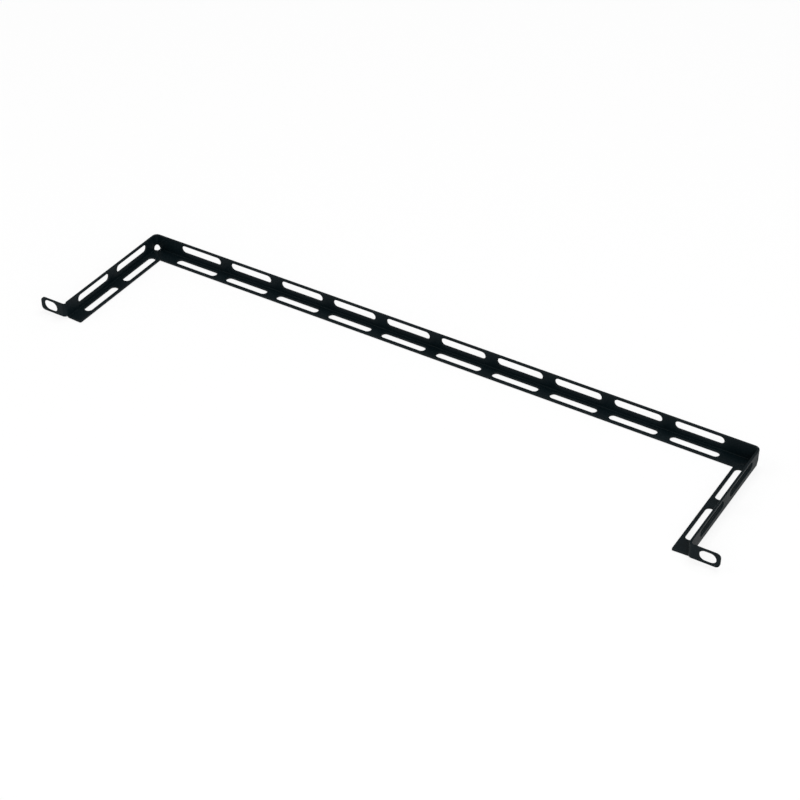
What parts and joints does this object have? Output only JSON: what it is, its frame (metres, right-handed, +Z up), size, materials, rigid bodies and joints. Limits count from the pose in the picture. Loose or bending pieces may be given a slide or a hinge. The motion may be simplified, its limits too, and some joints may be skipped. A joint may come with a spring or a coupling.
{
  "type": "offset lacing bar",
  "caption": "Slotted L-section bar of folded black sheet steel, bent to a shallow U with slotted ears, that holds cable ties away from a rack rail.",
  "frame": {"origin": "midway between the two ear slots, on the front faces of the ears, which seat on the rack rail", "axes": "+X along the bar to the right, +Y from the ears to the bar, +Z up from the shelf along the upright"},
  "size_m": [0.4802, 0.0988, 0.012],
  "materials": {
    "black_powder_coat": "satin black powder coat on folded steel sheet"
  },
  "bodies": {
    "root": {"lacing_bar": "black_powder_coat"}
  },
  "joints": []
}
